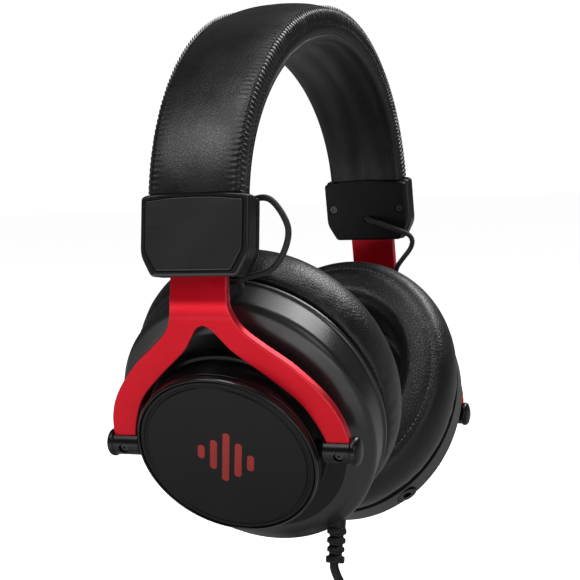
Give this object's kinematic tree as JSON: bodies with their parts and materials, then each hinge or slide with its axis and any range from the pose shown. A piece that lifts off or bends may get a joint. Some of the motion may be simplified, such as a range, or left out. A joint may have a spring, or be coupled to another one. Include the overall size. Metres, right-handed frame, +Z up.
{
  "type": "over-ear gaming headset",
  "caption": "Closed over-ear headset with a padded headband, sliding red metal yokes, tilting round ear cups with thick cushions, a microphone socket and a corded plug.",
  "frame": {"origin": "underside of the headband pad at the crown, where it rests on the head", "axes": "+Z up; X across the head with the left cup at -X; -Y towards the front"},
  "size_m": [0.1952, 0.0972, 0.2769],
  "materials": {
    "black_plastic": "satin",
    "board": "solder mask",
    "braid": "woven",
    "dark_steel": "blackened",
    "fabric": "knitted",
    "film": "clear film",
    "gloss_plastic": "glossy",
    "gold": "plated",
    "leatherette": "matte grained",
    "red_metal": "satin anodised",
    "rubber": "matte",
    "satin_plastic": "fine satin",
    "steel": "brushed"
  },
  "bodies": {
    "headband": {"cord_coil": "rubber", "cord_drop": "rubber", "cord_tie": "rubber", "headband_cover": "leatherette", "headband_pad": "leatherette", "headband_spring": "steel", "left_block_face": "satin_plastic", "left_block_inner": "black_plastic", "left_block_outer": "black_plastic", "left_block_screw_front": "dark_steel", "left_block_screw_rear": "dark_steel", "left_bridge_cable": "braid", "left_detent_spring": "steel", "plug_body": "rubber", "plug_tip": "gold", "right_block_face": "satin_plastic", "right_block_inner": "black_plastic", "right_block_outer": "black_plastic", "right_block_screw_front": "dark_steel", "right_block_screw_rear": "dark_steel", "right_bridge_cable": "braid", "right_detent_spring": "steel"},
    "left_fork": {"left_fork": "red_metal", "left_pivot_post_front": "black_plastic", "left_pivot_post_rear": "black_plastic", "left_post_screw_front": "dark_steel", "left_post_screw_rear": "dark_steel"},
    "left_cup": {"left_housing": "gloss_plastic", "left_hub": "black_plastic", "left_cover_disc": "satin_plastic", "left_trim_ring": "gloss_plastic", "left_baffle": "black_plastic", "left_driver_frame": "dark_steel", "left_driver_magnet": "steel", "left_diaphragm": "film", "left_ear_cloth": "fabric", "left_cushion": "leatherette", "left_terminal_board": "board", "left_cord_boot": "rubber"},
    "right_fork": {"right_fork": "red_metal", "right_pivot_post_front": "black_plastic", "right_pivot_post_rear": "black_plastic", "right_post_screw_front": "dark_steel", "right_post_screw_rear": "dark_steel"},
    "right_cup": {"right_housing": "gloss_plastic", "right_hub": "black_plastic", "right_cover_disc": "satin_plastic", "right_trim_ring": "gloss_plastic", "right_baffle": "black_plastic", "right_driver_frame": "dark_steel", "right_driver_magnet": "steel", "right_diaphragm": "film", "right_ear_cloth": "fabric", "right_cushion": "leatherette", "right_mic_socket": "black_plastic"}
  },
  "joints": [
    {"name": "left_fork_slide", "type": "slide", "parent": "headband", "child": "left_fork", "axis": [-0.1444, 0, -0.9895], "range_m": [-0.003, 0.0195], "deforming": ["cord_drop", "left_bridge_cable"]},
    {"name": "right_fork_slide", "type": "slide", "parent": "headband", "child": "right_fork", "axis": [0.1444, 0, -0.9895], "range_m": [-0.019, 0.0035], "deforming": ["right_bridge_cable"]},
    {"name": "left_cup_tilt", "type": "hinge", "parent": "left_fork", "child": "left_cup", "pos_m": [-0.07284, 0, -0.13955], "axis": [0, 1, 0], "range_deg": [-6, 8]},
    {"name": "right_cup_tilt", "type": "hinge", "parent": "right_fork", "child": "right_cup", "pos_m": [0.07515, 0, -0.15538], "axis": [0, 1, 0], "range_deg": [-13, 0.5]}
  ]
}
